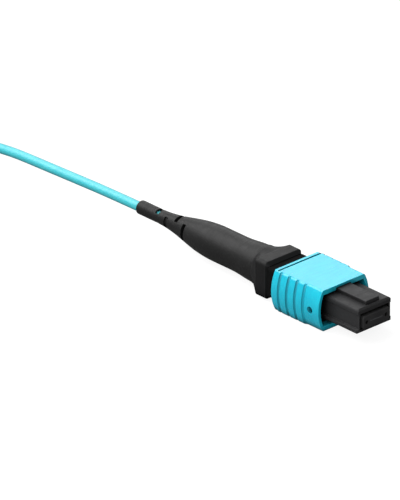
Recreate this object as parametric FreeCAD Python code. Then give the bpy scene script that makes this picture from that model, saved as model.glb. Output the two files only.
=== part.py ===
import FreeCAD, Part
import math
import os

# Twelve-fibre push-pull ribbon connector with its strain relief and cable. Millimetres.
# +X points along the plug towards the mating face, +Z up towards the key, z = 0 under the sleeve.
# Lengths along X are first laid out from the sleeve's rear edge, then centred for the export.

V = FreeCAD.Vector

# ---- coupling sleeve -------------------------------------------------------------------------
sleeve_length = 12.0
sleeve_width = 12.4
sleeve_height = 7.9
sleeve_bow = 1.05
sleeve_side_wall = 0.7
sleeve_top_wall = 0.9
sleeve_edge_radius = 0.5
sleeve_end_radius = 0.25
sleeve_front_inset = 0.12
grip_length = 8.1
grip_bow = 0.85
grip_pitch = 2.05
grip_count = 4
grip_first = 1.9
grip_groove_radius = 0.32
rim_length = 0.75
rim_groove_width = 0.4
rim_groove_depth = 0.22
spy_hole_radius = 0.65
spy_hole_from_front = 2.2
spy_hole_rise = -0.2
sleeve_travel = 2.0

# ---- ferrule -----------------------------------------------------------------------------------
ferrule_width = 6.4
ferrule_height = 2.5
ferrule_length = 8.0
ferrule_corner_radius = 0.5
ferrule_shoulder_width = 6.9
ferrule_shoulder_height = 3.0
ferrule_shoulder_length = 2.0
ferrule_stand_out = 0.5
ferrule_nose_chamfer = 0.12
guide_hole_radius = 0.35
guide_hole_pitch = 4.6
glue_window_length = 2.2
glue_window_width = 3.4
glue_window_gap = 0.4
fibre_count = 12
fibre_pitch = 0.25
glass_radius = 0.0625
coating_radius = 0.11
bundle_squeeze = 0.55
bundle_rise = 0.13
glass_length = 3.5
ribbon_slot_height = 0.7
ribbon_slot_width = 3.3

# ---- inner housing -----------------------------------------------------------------------------
nose_length = 7.8
nose_base_z = 1.95
nose_height = 4.7
nose_floor = 0.75
nose_roof = 1.05
nose_side_wall = 0.25
nose_floor_ledge = 0.42
nose_roof_ledge = 0.2
nose_edge_radius = 0.55
nose_front_chamfer = 0.3
key_width = 3.2
key_height = 0.7
key_setback = 0.6
key_length = 11.0
key_edge_radius = 0.12
key_end_gap = 0.3
key_side_gap = 0.2
body_width = 8.6
body_height = 5.7
body_front_inset = 1.4
body_edge_radius = 0.5
neck_spare = 0.8
sliding_gap = 0.1
running_gap = 0.05
latch_window_length = 1.3
latch_window_height = 2.2
latch_window_from_rear = 3.0
reveal_depth = 2.5
reveal_side = 0.2
reveal_top = 0.45
reveal_floor = 0.1

# ---- springs -----------------------------------------------------------------------------------
sleeve_spring_radius = 0.6
sleeve_spring_wire = 0.2
sleeve_spring_turns = 10
sleeve_spring_pocket_wall = 0.35
sleeve_spring_start = 2.0
sleeve_tab_from_front = 2.7
sleeve_tab_length = 0.9
sleeve_tab_height = 1.5
main_spring_wire = 0.45
main_spring_half_width = 3.2
main_spring_half_height = 1.45
main_spring_turns = 6

# ---- pin keeper and ferrule boot ---------------------------------------------------------------
keeper_length = 1.6
keeper_corner_radius = 0.4
ferrule_boot_width = 3.9
ferrule_boot_height = 1.5
ferrule_boot_length = 4.2
ferrule_boot_corner_radius = 0.4

# ---- spring push (rear body) -------------------------------------------------------------------
flange_width = 8.8
flange_height = 7.2
flange_length = 3.0
flange_edge_radius = 0.8
flange_front_chamfer = 0.6
shoulder_length = 1.9
plug_length = 4.8
plug_slit = 0.5
plug_passage_width = 4.4
plug_passage_height = 2.0
latch_reach = 0.5
latch_arm = 1.3
latch_ramp = 0.7
latch_hook_width = 1.2
barrel_radius = 1.95
barrel_bore_radius = 1.3
barrel_length = 6.6
barrel_groove_first = 0.8
barrel_groove_pitch = 1.2
barrel_groove_depth = 0.15

# ---- crimp, yarn and boot ----------------------------------------------------------------------
yarn_thickness = 0.15
crimp_wall = 0.35
crimp_setback = 0.5
crimp_neck_length = 0.8
crimp_tail_length = 2.8
crimp_tail_wall = 0.25
cable_radius = 0.9
boot_length = 32.4
boot_collar_radius = 3.75
boot_collar_length = 0.7
boot_root_radius = 3.62
boot_root_taper = 7.0
boot_waist_radius = 3.24
boot_waist_length = 4.6
boot_tail_radius = 1.3
boot_tail_length = 4.6
boot_tip_round = 0.25
boot_bore_gap = 0.05
flex_first = 5.2
flex_pitch = 2.65
flex_count = 4
flex_slot_width = 0.9
flex_half_angle = 48.0
flex_skin = 0.2

# ---- cable put away in a hank ------------------------------------------------------------------
cable_straight_end = 4.0
cable_bend_reach = 38.0
cable_bend_side = -0.6
cable_bend_height = 3.1
hank_straight = 19.6
hank_inner_fold = 5.5
hank_columns = 2
hank_layers = 6
hank_lead = 46.0
hank_offset = 2.2
tie_width = 8.0
tie_thickness = 0.4
tail_length = 7.0
tail_settle = 9.0
yarn_end_length = 3.0
yarn_end_radius = 0.68
yarn_end_spread = 0.1
fibre_end_length = 8.0
core_fibres = 3
core_reach = 0.13
ring_reach = 0.36

# ---- how far a cutter runs past its piece, and a joined block into its neighbour ---------------
cut_past = 1.0
joint_root = 0.5

# ---- places worked out from the sizes ----------------------------------------------------------
axis_z = sleeve_height / 2
nose_front = sleeve_length + nose_length
ferrule_front = nose_front + ferrule_stand_out
ferrule_rear = ferrule_front - ferrule_length
shoulder_front = ferrule_rear + ferrule_shoulder_length
cavity_half_width = ferrule_shoulder_width / 2 + running_gap
cavity_half_height = main_spring_half_height + main_spring_wire / 2 + sliding_gap
body_front = sleeve_length - body_front_inset
body_rear = -(sleeve_travel + neck_spare)
flange_rear = body_rear - flange_length
shoulder_rear = flange_rear - shoulder_length
boot_front = shoulder_rear
boot_tip = boot_front - boot_length
barrel_rear = shoulder_rear - barrel_length
crimp_rear = barrel_rear - crimp_tail_length
crimp_front = shoulder_rear - crimp_setback
crimp_neck = barrel_rear - crimp_neck_length
plug_front = body_rear + plug_length
keeper_rear = ferrule_rear - keeper_length
yarn_radius = barrel_radius + yarn_thickness
crimp_radius = yarn_radius + crimp_wall
nose_groove_half = cavity_half_width + nose_side_wall
nose_floor_half = nose_groove_half + nose_floor_ledge
nose_roof_half = nose_groove_half + nose_roof_ledge
hank_half_width = hank_inner_fold + (hank_columns - 0.5) * 2 * cable_radius
hank_front = boot_tip - hank_lead
hank_rear = hank_front - hank_straight - 2 * hank_half_width
hank_floor = tie_thickness
hank_top = hank_floor + 2 * cable_radius * hank_layers
hank_edge_radius = 0.8 * cable_radius
cable_rest_z = hank_floor + cable_radius
hank_entry_y = hank_offset - (hank_half_width - cable_radius)
tail_rear = hank_rear - tail_length
x_mid = (ferrule_front + boot_tip) / 2


def box(x0, x1, y0, y1, z0, z1):
    return Part.makeBox(x1 - x0, y1 - y0, z1 - z0, V(x0, y0, z0))


def block(x0, x1, width, height, z=axis_z):
    """A box centred on the plug's axis in Y, and on z in height."""
    return box(x0, x1, -width / 2, width / 2, z - height / 2, z + height / 2)


def rod(x0, x1, radius, y=0.0, z=axis_z):
    return Part.makeCylinder(radius, x1 - x0, V(x0, y, z), V(1, 0, 0))


def fused(shapes):
    whole = shapes[0]
    for shape in shapes[1:]:
        whole = whole.fuse(shape)
    return whole.removeSplitter()


def edges_along_x(solid, keep=lambda middle: True):
    """The straight edges that run along X and whose middle passes the test."""
    found = []
    for edge in solid.Edges:
        start = edge.Vertexes[0].Point
        end = edge.Vertexes[-1].Point
        runs_along = abs(end.y - start.y) < 1e-6 and abs(end.z - start.z) < 1e-6
        if runs_along and abs(end.x - start.x) > 1e-3 and keep((start + end) * 0.5):
            found.append(edge)
    return found


def edges_at_x(solid, x):
    """The edges that lie wholly in the plane at x."""
    return [e for e in solid.Edges if abs(e.BoundBox.XMin - x) < 1e-6 and abs(e.BoundBox.XMax - x) < 1e-6]


def rounded_block(x0, x1, width, height, radius, z=axis_z):
    solid = block(x0, x1, width, height, z)
    return solid.makeFillet(radius, edges_along_x(solid))


def bow_radius(bow):
    """The radius of a side that stands out by bow halfway up the sleeve."""
    return (axis_z ** 2 + bow ** 2) / (2 * bow)


def bowed_face(x, inset_side, inset_top, bow):
    """The sleeve's section: flat top and bottom, and sides bowed out on one arc."""
    half_height = axis_z - inset_top
    half_mid = sleeve_width / 2 - inset_side
    radius = bow_radius(bow) - inset_side
    half_flat = half_mid - radius + math.sqrt(radius ** 2 - half_height ** 2)
    low = axis_z - half_height
    high = axis_z + half_height
    right = Part.Arc(V(x, half_flat, low), V(x, half_mid, axis_z), V(x, half_flat, high))
    left = Part.Arc(V(x, -half_flat, high), V(x, -half_mid, axis_z), V(x, -half_flat, low))
    top = Part.LineSegment(V(x, half_flat, high), V(x, -half_flat, high))
    bottom = Part.LineSegment(V(x, -half_flat, low), V(x, half_flat, low))
    wire = Part.Wire([bottom.toShape(), right.toShape(), top.toShape(), left.toShape()])
    return Part.Face(wire)


def bowed_prism(x0, x1, inset_side=0.0, inset_top=0.0, bow=sleeve_bow):
    return bowed_face(x0, inset_side, inset_top, bow).extrude(V(x1 - x0, 0, 0))


def softened_prism(x0, x1, inset_side=0.0, bow=sleeve_bow):
    """A bowed prism whose long edges are rounded."""
    solid = bowed_prism(x0, x1, inset_side, 0.0, bow)
    return solid.makeFillet(sleeve_edge_radius, edges_along_x(solid))


# ---- outer sleeve ------------------------------------------------------------------------------
def make_outer_sleeve():
    rim_end = rim_length + rim_groove_width
    rim = softened_prism(0, rim_end)
    rim = rim.makeFillet(sleeve_end_radius, edges_at_x(rim, 0))
    grip = softened_prism(rim_end, grip_length, 0.0, grip_bow)
    front = softened_prism(grip_length, sleeve_length, sleeve_front_inset)
    sleeve = rim.fuse(grip).fuse(front)
    grip_radius = bow_radius(grip_bow)
    arc_centre = sleeve_width / 2 - grip_radius
    for side in (-1, 1):
        for turn in range(grip_count):
            x = grip_first + turn * grip_pitch
            groove = Part.makeTorus(grip_radius, grip_groove_radius,
                                    V(x, side * arc_centre, axis_z), V(1, 0, 0))
            sleeve = sleeve.cut(groove)
    for z in (0.0, sleeve_height):
        sleeve = sleeve.cut(block(rim_length, rim_end, sleeve_width - 2 * sleeve_bow,
                                  2 * rim_groove_depth, z))
    sleeve = sleeve.cut(bowed_prism(-cut_past, sleeve_length + cut_past, sleeve_side_wall, sleeve_top_wall))
    key_slot_rear = nose_front - key_setback - key_length - key_end_gap
    key_top = nose_base_z + nose_height + key_height
    slot = block(key_slot_rear, sleeve_length + cut_past, key_width + 2 * key_side_gap,
                 2 * (key_top + sliding_gap - axis_z))
    sleeve = sleeve.cut(slot.common(box(key_slot_rear, sleeve_length + cut_past, -key_width, key_width,
                                        axis_z, sleeve_height)))
    spy_x = sleeve_length - spy_hole_from_front
    spy = Part.makeCylinder(spy_hole_radius, sleeve_width + 2,
                            V(spy_x, -sleeve_width / 2 - cut_past, axis_z + spy_hole_rise), V(0, 1, 0))
    sleeve = sleeve.cut(spy)
    return fused([sleeve] + [sleeve_tab(side) for side in (-1, 1)])


def sleeve_tab(side):
    """The lug inside the sleeve that presses on a sleeve spring."""
    front = sleeve_length - sleeve_tab_from_front
    inner = cavity_half_width + sleeve_spring_pocket_wall + sliding_gap
    outer = sleeve_width / 2 - sleeve_side_wall / 2
    low, high = sorted((side * inner, side * outer))
    return box(front - sleeve_tab_length, front, low, high,
               axis_z - sleeve_tab_height / 2, axis_z + sleeve_tab_height / 2)


# ---- inner housing -----------------------------------------------------------------------------
def nose_section(x):
    """The nose from the front: a floor ledge, recessed sides and a roof slab."""
    floor_top = nose_base_z + nose_floor
    roof_low = nose_base_z + nose_height - nose_roof
    roof_top = nose_base_z + nose_height
    right = [V(x, nose_floor_half, nose_base_z), V(x, nose_floor_half, floor_top),
             V(x, nose_groove_half, floor_top + nose_floor_ledge / 2),
             V(x, nose_groove_half, roof_low), V(x, nose_roof_half, roof_low + nose_roof_ledge / 2),
             V(x, nose_roof_half, roof_top)]
    left = [V(x, -p.y, p.z) for p in reversed(right)]
    return Part.Face(Part.makePolygon(right + left + right[:1]))


def nose_envelope():
    """A box round the nose whose front end is bevelled on all four sides."""
    middle = nose_base_z + nose_height / 2
    straight = block(body_front - cut_past, nose_front - nose_front_chamfer, 2 * nose_floor_half,
                     nose_height, middle)
    outlines = []
    for x, trim in ((nose_front - nose_front_chamfer, 0.0), (nose_front, nose_front_chamfer)):
        half_width = nose_floor_half - trim
        half_height = nose_height / 2 - trim
        corners = [V(x, -half_width, middle - half_height), V(x, half_width, middle - half_height),
                   V(x, half_width, middle + half_height), V(x, -half_width, middle + half_height)]
        outlines.append(Part.makePolygon(corners + corners[:1]))
    return straight.fuse(Part.makeLoft(outlines, True, True))


def make_inner_housing():
    nose = nose_section(body_front).extrude(V(nose_front - body_front, 0, 0))
    roof_top = nose_base_z + nose_height
    nose = nose.makeFillet(nose_edge_radius, edges_along_x(nose, lambda m: m.z > roof_top - 1e-6))
    nose = nose.makeFillet(nose_edge_radius / 2,
                           edges_along_x(nose, lambda m: m.z < nose_base_z + 1e-6))
    nose = nose.common(nose_envelope())
    body = rounded_block(body_rear, body_front, body_width, body_height, body_edge_radius)
    key_front = nose_front - key_setback
    key = block(key_front - key_length, key_front, key_width, key_height + joint_root,
                roof_top + (key_height - joint_root) / 2)
    key = key.makeFillet(key_edge_radius, edges_along_x(key, lambda m: m.z > roof_top))
    housing = fused([body, nose, key])
    passage = rounded_block(ferrule_rear, nose_front + cut_past, ferrule_width + 2 * running_gap,
                            ferrule_height + 2 * running_gap, ferrule_corner_radius)
    reveal = box(nose_front - reveal_depth, nose_front + cut_past, -ferrule_width / 2 - reveal_side,
                 ferrule_width / 2 + reveal_side, axis_z - ferrule_height / 2 - reveal_floor,
                 axis_z + ferrule_height / 2 + reveal_top)
    shoulder_room = block(body_rear - cut_past, shoulder_front, 2 * cavity_half_width,
                          ferrule_shoulder_height + 2 * running_gap)
    cavity = block(body_rear - cut_past, ferrule_rear, 2 * cavity_half_width, 2 * cavity_half_height)
    housing = housing.cut(passage).cut(reveal).cut(shoulder_room).cut(cavity)
    for side in (-1, 1):
        pocket_front = sleeve_length - sleeve_tab_from_front + running_gap
        pocket_floor = cavity_half_width + sleeve_spring_pocket_wall
        low, high = sorted((side * pocket_floor, side * body_width))
        pocket_half = sleeve_tab_height / 2 + sliding_gap
        housing = housing.cut(box(sleeve_spring_start, pocket_front, low, high,
                                  axis_z - pocket_half, axis_z + pocket_half))
        window_rear = body_rear + latch_window_from_rear
        low, high = sorted((0.0, side * body_width))
        housing = housing.cut(box(window_rear, window_rear + latch_window_length, low, high,
                                  axis_z - latch_window_height / 2, axis_z + latch_window_height / 2))
    return housing.removeSplitter()


# ---- ferrule, its fibres, boot and keeper --------------------------------------------------------
def fibre_y(number):
    return (number - (fibre_count - 1) / 2) * fibre_pitch


def make_ferrule():
    front = rounded_block(shoulder_front - joint_root, ferrule_front, ferrule_width, ferrule_height,
                          ferrule_corner_radius)
    front = front.makeChamfer(ferrule_nose_chamfer, edges_at_x(front, ferrule_front))
    shoulder = rounded_block(ferrule_rear, shoulder_front, ferrule_shoulder_width,
                             ferrule_shoulder_height, ferrule_corner_radius)
    ferrule = front.fuse(shoulder)
    for side in (-1, 1):
        ferrule = ferrule.cut(rod(ferrule_rear - cut_past, ferrule_front + cut_past, guide_hole_radius,
                                  side * guide_hole_pitch / 2))
    slot_front = ferrule_front - glass_length
    ferrule = ferrule.cut(block(ferrule_rear - cut_past, slot_front, ribbon_slot_width, ribbon_slot_height))
    window_front = slot_front - glue_window_gap
    window = box(window_front - glue_window_length, window_front, -glue_window_width / 2,
                 glue_window_width / 2, axis_z, axis_z + ferrule_height)
    ferrule = ferrule.cut(window)
    for number in range(fibre_count):
        ferrule = ferrule.cut(rod(slot_front - cut_past, ferrule_front + cut_past, glass_radius,
                                  fibre_y(number)))
    return ferrule


def bundle_place(number):
    """Where a fibre lies in the loose bundle: the ribbon drawn together into two rows."""
    row = 1 if number % 2 else -1
    return fibre_y(number) * bundle_squeeze, row * bundle_rise


def fibre_rod(x0, x1, radius, y, z):
    return rod(x0, x1, radius, y, axis_z + z)


def make_fibre(number):
    """Bare glass in the ferrule, then coated: flat in the ribbon, fanned in, and bundled."""
    y = fibre_y(number)
    bundle_y, bundle_z = bundle_place(number)
    glass_rear = ferrule_front - glass_length
    fan_front = ferrule_rear - ferrule_boot_length
    glass = fibre_rod(glass_rear, ferrule_front, glass_radius, y, 0)
    flat = fibre_rod(fan_front, glass_rear, coating_radius, y, 0)
    bundle = fibre_rod(barrel_rear, body_rear, coating_radius, bundle_y, bundle_z)
    rings = []
    for x, ring_y, ring_z in ((body_rear, bundle_y, bundle_z), (fan_front, y, 0.0)):
        centre = V(x, ring_y, axis_z + ring_z)
        rings.append(Part.Wire(Part.makeCircle(coating_radius, centre, V(1, 0, 0))))
    fan = Part.makeLoft(rings, True, True)
    return fused([bundle, fan, flat, glass])


def make_ferrule_boot():
    outside = rounded_block(ferrule_rear - ferrule_boot_length, ferrule_rear, ferrule_boot_width,
                            ferrule_boot_height, ferrule_boot_corner_radius)
    inside = block(ferrule_rear - ferrule_boot_length - cut_past, ferrule_rear + cut_past, ribbon_slot_width,
                   ribbon_slot_height)
    return outside.cut(inside)


def make_pin_keeper():
    """A bridge across the ferrule's rear that the main spring presses on."""
    width = ferrule_shoulder_width - 2 * running_gap
    plate = rounded_block(keeper_rear, ferrule_rear, width, 2 * main_spring_half_height,
                          keeper_corner_radius)
    window = block(keeper_rear - cut_past, ferrule_rear + cut_past, ferrule_boot_width + 2 * running_gap,
                   ferrule_boot_height + 2 * running_gap)
    return plate.cut(window)


def coil(x0, x1, turns, wire_radius, half_width, half_height, y=0.0):
    """A compression spring along X between x0 and x1, round or oval."""
    length = x1 - x0 - 2 * wire_radius
    steps = 12
    points = []
    for step in range(int(turns * steps) + 1):
        angle = 2 * math.pi * step / steps
        x = x0 + wire_radius + length * step / (turns * steps)
        points.append(V(x, y + half_width * math.cos(angle), axis_z + half_height * math.sin(angle)))
    path = Part.BSplineCurve()
    path.interpolate(points)
    start = path.value(path.FirstParameter)
    heading = path.tangent(path.FirstParameter)[0]
    profile = Part.Wire(Part.makeCircle(wire_radius, start, heading))
    return Part.Wire(path.toShape()).makePipeShell([profile], True, True)


def make_main_spring():
    return coil(plug_front, keeper_rear, main_spring_turns, main_spring_wire / 2,
                main_spring_half_width - main_spring_wire / 2,
                main_spring_half_height - main_spring_wire / 2)


def make_sleeve_spring(side):
    reach = sleeve_spring_radius - sleeve_spring_wire / 2
    centre = cavity_half_width + sleeve_spring_pocket_wall + sliding_gap + sleeve_spring_radius
    rear = sleeve_spring_start
    front = sleeve_length - sleeve_tab_from_front - sleeve_tab_length
    return coil(rear, front, sleeve_spring_turns, sleeve_spring_wire / 2, reach, reach, side * centre)


# ---- spring push -------------------------------------------------------------------------------
def make_spring_push():
    flange = rounded_block(flange_rear, body_rear, flange_width, flange_height, flange_edge_radius)
    outline = [f for f in flange.Faces if abs(f.CenterOfMass.x - flange_rear) < 1e-6][0].OuterWire
    flange = flange.makeChamfer(flange_front_chamfer, edges_at_x(flange, body_rear))
    ring = Part.Wire(Part.makeCircle(boot_collar_radius, V(shoulder_rear, 0, axis_z), V(1, 0, 0)))
    shoulder = Part.makeLoft([outline, ring], True, True)
    plug = block(body_rear - joint_root, plug_front, 2 * cavity_half_width - 2 * running_gap,
                 2 * cavity_half_height - 2 * running_gap)
    passage = block(body_rear, plug_front + cut_past, plug_passage_width, plug_passage_height)
    slit_rear = body_rear + latch_window_from_rear / 2
    slit_y = cavity_half_width - running_gap - latch_arm
    window_rear = body_rear + latch_window_from_rear + running_gap
    window_front = body_rear + latch_window_from_rear + latch_window_length - sliding_gap
    barrel = rod(barrel_rear, shoulder_rear + joint_root, barrel_radius)
    push = fused([flange, shoulder, plug, barrel])
    push = push.cut(passage)
    for side in (-1, 1):
        for level in (-1, 1):
            z = axis_z + level * (latch_window_height / 2 + running_gap)
            low, high = sorted((side * slit_y, side * (cavity_half_width + cut_past)))
            push = push.cut(box(slit_rear, plug_front + cut_past, low, high, z - plug_slit / 2,
                                z + plug_slit / 2))
        root = side * (cavity_half_width - running_gap)
        tip = root + side * latch_reach
        inner = root - side * sliding_gap
        low = axis_z - latch_hook_width / 2
        profile = Part.makePolygon([V(window_rear, inner, low), V(window_rear, tip, low),
                                    V(window_front - latch_ramp, tip, low),
                                    V(window_front, root, low), V(window_front, inner, low),
                                    V(window_rear, inner, low)])
        hook = Part.Face(profile).extrude(V(0, 0, latch_hook_width))
        push = push.fuse(hook)
    push = push.cut(rod(barrel_rear - cut_past, body_rear + cut_past, barrel_bore_radius))
    grooves = int((barrel_length - barrel_groove_first) / barrel_groove_pitch)
    for number in range(grooves):
        x = barrel_rear + barrel_groove_first + number * barrel_groove_pitch
        cutter = rod(x, x + barrel_groove_pitch / 2, barrel_radius + cut_past)
        cutter = cutter.cut(rod(x - cut_past, x + barrel_groove_pitch, barrel_radius - barrel_groove_depth))
        push = push.cut(cutter)
    return push.removeSplitter()


# ---- yarn, crimp ring and boot -------------------------------------------------------------------
def make_yarn():
    sleeve = rod(barrel_rear, crimp_front, yarn_radius)
    return sleeve.cut(rod(barrel_rear - cut_past, shoulder_rear + cut_past, barrel_radius))


def make_crimp_ring():
    """Wide over the barrel and its yarn, necked down on the jacket behind."""
    tail_radius = cable_radius + boot_bore_gap + crimp_tail_wall
    outline = [V(crimp_rear, 0, 0), V(crimp_rear, tail_radius, 0), V(crimp_neck, tail_radius, 0),
               V(barrel_rear, crimp_radius, 0), V(crimp_front, crimp_radius, 0), V(crimp_front, 0, 0),
               V(crimp_rear, 0, 0)]
    outside = Part.Face(Part.makePolygon(outline)).revolve(V(0, 0, 0), V(1, 0, 0), 360)
    outside.translate(V(0, 0, axis_z))
    ring = outside.cut(rod(barrel_rear, crimp_front + cut_past, yarn_radius))
    return ring.cut(rod(crimp_rear - cut_past, barrel_rear + cut_past, cable_radius + boot_bore_gap))


def blend(x0, r0, x1, r1):
    """A smooth step in radius, level at both ends."""
    reach = (x1 - x0) * 0.42
    curve = Part.BezierCurve()
    curve.setPoles([V(x0, r0, 0), V(x0 + reach, r0, 0), V(x1 - reach, r1, 0), V(x1, r1, 0)])
    return curve.toShape()


def make_boot():
    collar_rear = boot_front - boot_collar_length
    waist_front = boot_front - boot_root_taper
    waist_rear = waist_front - boot_waist_length
    tail_front = boot_tip + boot_tail_length
    inner = boot_tail_radius - boot_tip_round
    bevel = boot_tip_round * math.sqrt(0.5)
    corner = Part.Arc(V(boot_tip, inner, 0),
                      V(boot_tip + boot_tip_round - bevel, inner + bevel, 0),
                      V(boot_tip + boot_tip_round, boot_tail_radius, 0))
    edges = [
        Part.LineSegment(V(boot_tip, 0, 0), V(boot_tip, inner, 0)).toShape(),
        corner.toShape(),
        Part.LineSegment(V(boot_tip + boot_tip_round, boot_tail_radius, 0),
                         V(tail_front, boot_tail_radius, 0)).toShape(),
        blend(tail_front, boot_tail_radius, waist_rear, boot_waist_radius),
        Part.LineSegment(V(waist_rear, boot_waist_radius, 0),
                         V(waist_front, boot_waist_radius, 0)).toShape(),
        blend(waist_front, boot_waist_radius, collar_rear, boot_root_radius),
        Part.LineSegment(V(collar_rear, boot_root_radius, 0),
                         V(collar_rear, boot_collar_radius, 0)).toShape(),
        Part.LineSegment(V(collar_rear, boot_collar_radius, 0),
                         V(boot_front, boot_collar_radius, 0)).toShape(),
        Part.LineSegment(V(boot_front, boot_collar_radius, 0), V(boot_front, 0, 0)).toShape(),
        Part.LineSegment(V(boot_front, 0, 0), V(boot_tip, 0, 0)).toShape(),
    ]
    boot = Part.Face(Part.Wire(edges)).revolve(V(0, 0, 0), V(1, 0, 0), 360)
    boot.translate(V(0, 0, axis_z))
    tail_bore = cable_radius + boot_bore_gap
    neck_bore = tail_bore + crimp_tail_wall + boot_bore_gap
    boot = boot.cut(rod(boot_tip - cut_past, boot_front + cut_past, tail_bore))
    boot = boot.cut(rod(crimp_rear, boot_front + cut_past, neck_bore))
    boot = boot.cut(rod(crimp_neck, boot_front + cut_past, crimp_radius + boot_bore_gap))
    for number in range(flex_count):
        x = boot_tip + flex_first + number * flex_pitch
        reach = tail_bore + flex_skin if number else cable_radius
        for side in (0, 180):
            turn = side + (90 if number % 2 else 0)
            boot = boot.cut(flex_cutter(x, turn, reach))
    return boot


def flex_cutter(x, turn, reach):
    """A slice of a disc that cuts one flex slot down to reach. turn is measured from the top."""
    disc = Part.makeCylinder(boot_root_radius + cut_past, flex_slot_width, V(0, 0, 0), V(1, 0, 0),
                             2 * flex_half_angle)
    cutter = disc.cut(Part.makeCylinder(reach, flex_slot_width + 2, V(-1, 0, 0), V(1, 0, 0)))
    centre = disc.CenterOfMass
    bearing = math.degrees(math.atan2(centre.y, centre.z))
    cutter.rotate(V(0, 0, 0), V(1, 0, 0), bearing + turn)
    cutter.translate(V(x - flex_slot_width / 2, 0, axis_z))
    return cutter


# ---- cable, hank, tie and bare end ---------------------------------------------------------------
def cable_points():
    """Where the cable runs: through the boot, on with a slight sag, and down into the hank."""
    return [
        V(barrel_rear, 0, axis_z),
        V(boot_tip - cable_straight_end, 0, axis_z),
        V(boot_tip - cable_bend_reach, cable_bend_side, cable_bend_height),
        V(hank_front - hank_half_width, hank_entry_y, cable_rest_z),
    ]


def rounded_path(points):
    """Straight runs joined by tangent arcs, each taking 45% of the shorter run beside it."""
    pieces = []
    at = points[0]
    radii = []
    for before, corner, after in zip(points, points[1:], points[2:]):
        arrive = (corner - before).normalize()
        leave = (after - corner).normalize()
        half_turn = arrive.getAngle(leave) / 2
        reach = 0.45 * min((corner - before).Length, (after - corner).Length)
        radius = reach / math.tan(half_turn)
        start = corner - arrive * reach
        end = corner + leave * reach
        inward = (leave - arrive).normalize()
        middle = corner + inward * (radius / math.cos(half_turn) - radius)
        pieces.append(Part.LineSegment(at, start).toShape())
        pieces.append(Part.Arc(start, middle, end).toShape())
        radii.append(radius)
        at = end
    pieces.append(Part.LineSegment(at, points[-1]).toShape())
    return Part.Wire(pieces), radii


def cable_tube(points):
    path, radii = rounded_path(points)
    profile = Part.Wire(Part.makeCircle(cable_radius, points[0], points[1] - points[0]))
    tube = path.makePipeShell([profile], True, False)
    ideal = math.pi * cable_radius ** 2 * path.Length
    print("cable bend radii", [round(r, 1) for r in radii])
    print("cable run", round(path.Length, 1), "volume share", round(tube.Volume / ideal, 4))
    return tube


def make_cable():
    return cable_tube(cable_points())


def stadium(x0, x1, y, half_width, z0, z1):
    """A flat oval block: straight sides along X and round ends."""
    middle = box(x0 + half_width, x1 - half_width, y - half_width, y + half_width, z0, z1)
    ends = [Part.makeCylinder(half_width, z1 - z0, V(x, y, z0)) for x in (x0 + half_width, x1 - half_width)]
    return fused([middle] + ends)


def make_hank():
    """The outer shape of the folded turns, one closed solid."""
    hank = stadium(hank_rear, hank_front, hank_offset, hank_half_width, hank_floor, hank_top)
    rims = [e for e in hank.Edges if e.BoundBox.ZMax - e.BoundBox.ZMin < 1e-6]
    return hank.makeFillet(hank_edge_radius, rims)


def make_tie():
    """The strap round the middle of the hank."""
    middle = (hank_rear + hank_front) / 2
    left = hank_offset + hank_half_width
    right = hank_offset - hank_half_width
    outside = box(middle - tie_width / 2, middle + tie_width / 2, right - tie_thickness,
                  left + tie_thickness, 0, hank_top + tie_thickness)
    outside = outside.makeFillet(hank_edge_radius + tie_thickness, edges_along_x(outside))
    inside = box(middle - tie_width, middle + tie_width, right, left, hank_floor, hank_top)
    inside = inside.makeFillet(hank_edge_radius, edges_along_x(inside))
    return outside.cut(inside)


def make_cable_tail():
    """The last of the cable, which leaves the second layer, settles and is cut square."""
    straight_end = hank_rear + hank_half_width
    return cable_tube([
        V(straight_end, hank_entry_y, cable_rest_z + 2 * cable_radius),
        V(straight_end - tail_settle, hank_entry_y, cable_rest_z),
        V(tail_rear, hank_entry_y, cable_rest_z),
    ])


def make_end_yarn():
    """The tuft of strength yarn that stands out of the cut jacket, round the fibres."""
    root = V(tail_rear, hank_entry_y, cable_rest_z)
    away = V(-1, 0, 0)
    tuft = Part.makeCone(yarn_end_radius, yarn_end_radius + yarn_end_spread, yarn_end_length, root, away)
    room = ring_reach + coating_radius + running_gap / 2
    return tuft.cut(Part.makeCylinder(room, yarn_end_length + cut_past, root, away))


def make_end_fibres():
    """The stripped fibre ends: a few in the middle and the rest in a ring round them."""
    ring_fibres = fibre_count - core_fibres
    ends = []
    for number in range(fibre_count):
        if number < core_fibres:
            angle = 2 * math.pi * number / core_fibres
            reach = core_reach
        else:
            angle = 2 * math.pi * (number - core_fibres) / ring_fibres
            reach = ring_reach
        ends.append(rod(tail_rear - fibre_end_length, tail_rear, coating_radius,
                        hank_entry_y + reach * math.cos(angle),
                        cable_rest_z + reach * math.sin(angle)))
    return Part.makeCompound(ends)


nodes = {
    "outer_sleeve": make_outer_sleeve(),
    "inner_housing": make_inner_housing(),
    "mt_ferrule": make_ferrule(),
    "ferrule_boot": make_ferrule_boot(),
    "pin_keeper": make_pin_keeper(),
    "main_spring": make_main_spring(),
    "sleeve_spring_left": make_sleeve_spring(1),
    "sleeve_spring_right": make_sleeve_spring(-1),
    "spring_push": make_spring_push(),
    "aramid_yarn": make_yarn(),
    "crimp_ring": make_crimp_ring(),
    "boot": make_boot(),
    "cable": make_cable(),
    "cable_hank": make_hank(),
    "hank_tie": make_tie(),
    "cable_tail": make_cable_tail(),
    "cable_end_yarn": make_end_yarn(),
    "cable_end_fibres": make_end_fibres(),
}
for number in range(fibre_count):
    nodes["fibre_%02d" % (number + 1)] = make_fibre(number)

os.makedirs("parts", exist_ok=True)
for name, shape in nodes.items():
    placed = shape.copy()
    placed.translate(V(-x_mid, 0, 0))
    placed.exportStep("parts/%s.step" % name)
    print(name, placed.isValid(), len(placed.Solids), round(placed.Volume, 3))
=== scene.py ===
import math

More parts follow.
